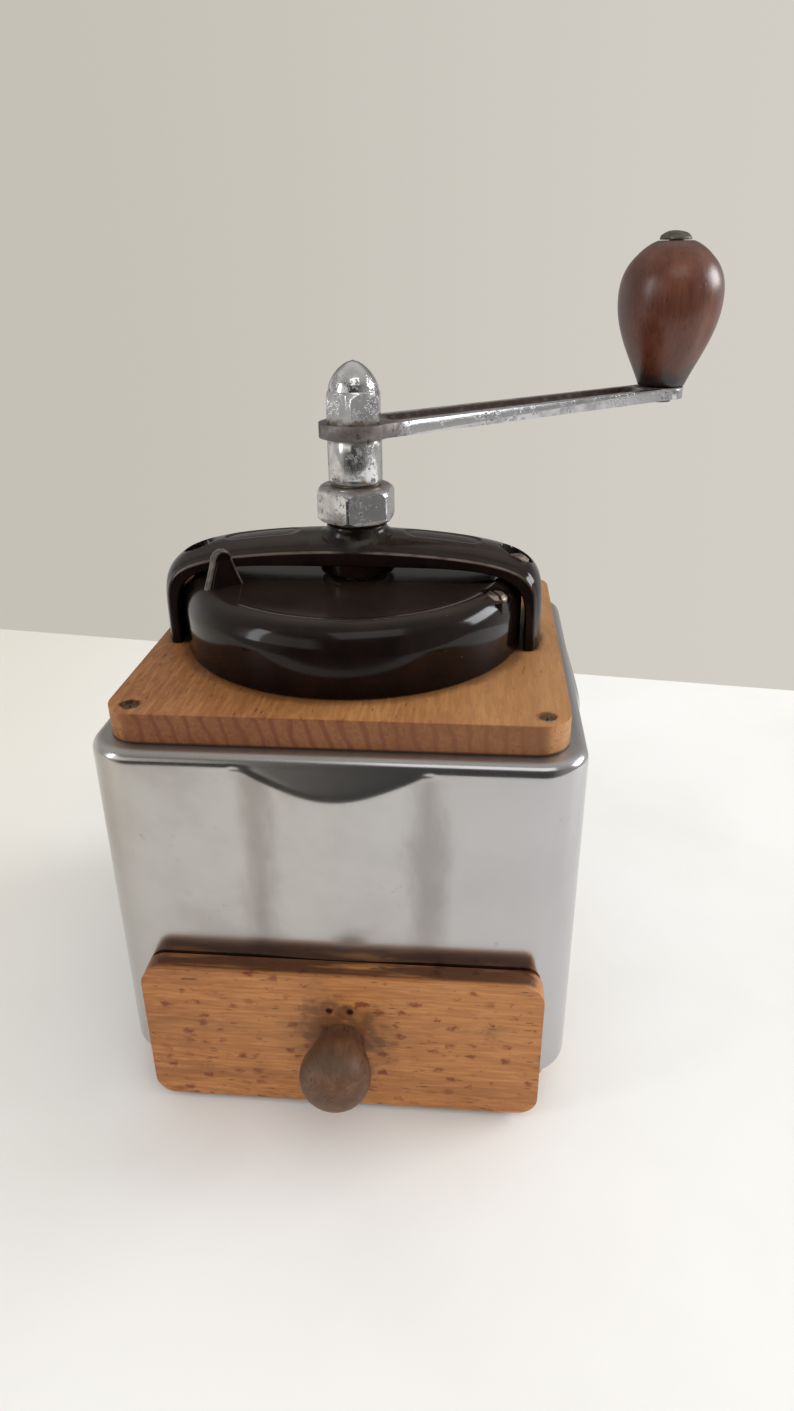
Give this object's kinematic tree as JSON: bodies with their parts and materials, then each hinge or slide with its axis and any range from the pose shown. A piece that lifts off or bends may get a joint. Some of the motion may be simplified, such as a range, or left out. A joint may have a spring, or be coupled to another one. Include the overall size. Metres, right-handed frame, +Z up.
{
  "type": "hand coffee grinder mill",
  "caption": "Antique hand coffee grinder mill: square satin metal body, wooden boards and drawer, dark round hopper with bridge, pitted chrome crank with wooden grip",
  "frame": {"origin": "centre of the base board's underside, on the crank axis at table level", "axes": "+Z up, the drawer opens toward -Y, +X to the right seen from the drawer side"},
  "size_m": [0.1752, 0.1845, 0.222],
  "materials": {
    "wood_board": "satin",
    "wood_inner": "matte",
    "wood_knob": "satin",
    "wood_grip": "satin",
    "body_metal": "satin",
    "bakelite": "gloss",
    "chrome": "pitted",
    "steel": "satin",
    "dark_screw": "matte",
    "brass": "satin",
    "iron": "matte",
    "rivet": "matte"
  },
  "bodies": {
    "mill": {"base_board": "wood_board", "base_screws": "dark_screw", "corner_posts": "wood_inner", "body_shell": "body_metal", "top_board": "wood_board", "board_screws": "dark_screw", "hopper": "bakelite", "lid_screw": "steel", "bridge": "bakelite", "bridge_screws": "steel", "bearing_bush": "brass", "burr_housing": "iron", "housing_screws": "steel", "outer_burr": "iron", "lower_bearing": "iron", "bearing_screws": "steel"},
    "drawer": {"drawer_front": "wood_board", "drawer_side_left": "wood_inner", "drawer_side_right": "wood_inner", "drawer_back": "wood_inner", "drawer_bottom": "wood_inner", "drawer_knob": "wood_knob", "knob_screw": "steel"},
    "lid": {"lid": "bakelite"},
    "lift": {"thrust_washer": "brass"},
    "nut": {"adjusting_nut": "chrome"},
    "crank": {"shaft": "steel", "sleeve": "chrome", "crank_arm": "chrome", "acorn_nut": "chrome", "inner_burr": "iron", "burr_pin": "steel", "grip_pin": "rivet"},
    "grip": {"grip": "wood_grip"}
  },
  "joints": [
    {"name": "drawer_slide", "type": "slide", "parent": "mill", "child": "drawer", "axis": [0, -1, 0], "range_m": [0, 0.095]},
    {"name": "lid_swing", "type": "hinge", "parent": "mill", "child": "lid", "pos_m": [0.039, -0.0162, 0.134], "axis": [0, 0, 1], "range_deg": [0, 90]},
    {"name": "grind_lift", "type": "slide", "parent": "mill", "child": "lift", "axis": [0, 0, -1], "range_m": [0, 0.001]},
    {"name": "adjusting_turn", "type": "hinge", "parent": "lift", "child": "nut", "pos_m": [0, 0, 0.155], "axis": [0, 0, -1], "range_deg": [0, 360]},
    {"name": "crank_turn", "type": "hinge", "parent": "lift", "child": "crank", "pos_m": [0, 0, 0.172], "axis": [0, 0, 1], "continuous": true},
    {"name": "grip_turn", "type": "hinge", "parent": "crank", "child": "grip", "pos_m": [0.09346, 0.07842, 0.1765], "axis": [0, 0, 1], "continuous": true}
  ],
  "couplings": [
    {"joint": "adjusting_turn", "follows": "grind_lift", "rad_per_m": 6283.2}
  ]
}
